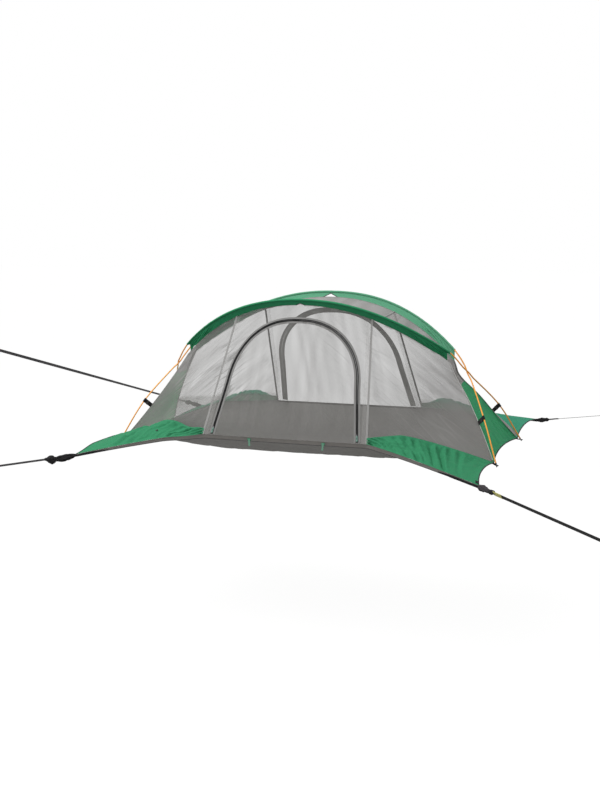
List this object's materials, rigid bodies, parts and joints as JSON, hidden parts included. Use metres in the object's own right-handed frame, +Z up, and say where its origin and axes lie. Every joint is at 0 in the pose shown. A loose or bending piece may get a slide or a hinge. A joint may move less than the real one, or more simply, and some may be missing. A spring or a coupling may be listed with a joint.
{
  "type": "suspended tent",
  "caption": "Suspended netting tent with crossed arch poles, zipped fold-down doors, solid corner wings and long tension straps.",
  "frame": {"origin": "midway between the four suspended corners, level with the feet of the poles", "axes": "+X along the tent, +Y from the front side to the back side, +Z up"},
  "size_m": [5.4805, 3.1302, 0.9516],
  "materials": {
    "floor_fabric": "grey coated cloth, matte",
    "netting": "fine see-through mosquito netting",
    "green_fabric": "green ripstop cloth, slight sheen",
    "pole": "orange anodised",
    "black_plastic": "matte",
    "webbing": "woven black webbing",
    "zip_tape": "grey woven tape with a black coil",
    "pale_green": "matte",
    "steel": "satin"
  },
  "bodies": {
    "tent": {"floor": "floor_fabric", "front_edge_band": "floor_fabric", "back_edge_band": "floor_fabric", "front_left_wall": "netting", "front_middle_wall": "netting", "front_right_wall": "netting", "back_left_wall": "netting", "back_middle_wall": "netting", "back_right_wall": "netting", "roof": "netting", "left_end_panel": "green_fabric", "right_end_panel": "green_fabric", "front_left_wing": "green_fabric", "front_right_wing": "green_fabric", "back_left_wing": "green_fabric", "back_right_wing": "green_fabric", "front_pole_sleeve": "green_fabric", "back_pole_sleeve": "green_fabric", "front_pole_arch": "pole", "front_pole_left_leg": "pole", "front_pole_right_leg": "pole", "back_pole_arch": "pole", "back_pole_left_leg": "pole", "back_pole_right_leg": "pole", "front_left_pole_tip": "black_plastic", "front_right_pole_tip": "black_plastic", "back_left_pole_tip": "black_plastic", "back_right_pole_tip": "black_plastic", "front_left_foot_tab": "webbing", "front_right_foot_tab": "webbing", "back_left_foot_tab": "webbing", "back_right_foot_tab": "webbing", "front_left_clip": "black_plastic", "front_right_clip": "black_plastic", "back_left_clip": "black_plastic", "back_right_clip": "black_plastic", "front_wall_tape": "zip_tape", "back_wall_tape": "zip_tape", "left_toggle": "pale_green", "right_toggle": "pale_green", "front_left_gather": "webbing", "front_right_gather": "webbing", "back_left_gather": "webbing", "back_right_gather": "webbing", "front_left_strap": "webbing", "front_right_strap": "webbing", "back_left_strap": "webbing", "back_right_strap": "webbing", "front_left_strap_plate": "steel", "front_right_strap_plate": "steel", "back_left_strap_plate": "steel", "back_right_strap_plate": "steel"},
    "front_door_panel": {"front_door": "netting", "front_door_tape": "zip_tape"},
    "back_door_panel": {"back_door": "netting", "back_door_tape": "zip_tape"},
    "front_left_zip": {"front_left_slider": "pale_green"},
    "front_right_zip": {"front_right_slider": "pale_green"},
    "back_left_zip": {"back_left_slider": "pale_green"},
    "back_right_zip": {"back_right_slider": "pale_green"}
  },
  "joints": [
    {"name": "front_door_fold", "type": "hinge", "parent": "tent", "child": "front_door_panel", "pos_m": [0, -0.60786, 0.13015], "axis": [1, 0, 0], "range_deg": [0, 175]},
    {"name": "back_door_fold", "type": "hinge", "parent": "tent", "child": "back_door_panel", "pos_m": [0, 0.60786, 0.13015], "axis": [-1, 0, 0], "range_deg": [0, 175]},
    {"name": "front_left_zip_slide", "type": "slide", "parent": "front_door_panel", "child": "front_left_zip", "axis": [0.14, 0.4578, 0.878], "range_m": [0, 0.15]},
    {"name": "front_right_zip_slide", "type": "slide", "parent": "front_door_panel", "child": "front_right_zip", "axis": [-0.14, 0.4578, 0.878], "range_m": [0, 0.15]},
    {"name": "back_left_zip_slide", "type": "slide", "parent": "back_door_panel", "child": "back_left_zip", "axis": [0.14, -0.4578, 0.878], "range_m": [0, 0.15]},
    {"name": "back_right_zip_slide", "type": "slide", "parent": "back_door_panel", "child": "back_right_zip", "axis": [-0.14, -0.4578, 0.878], "range_m": [0, 0.15]}
  ]
}
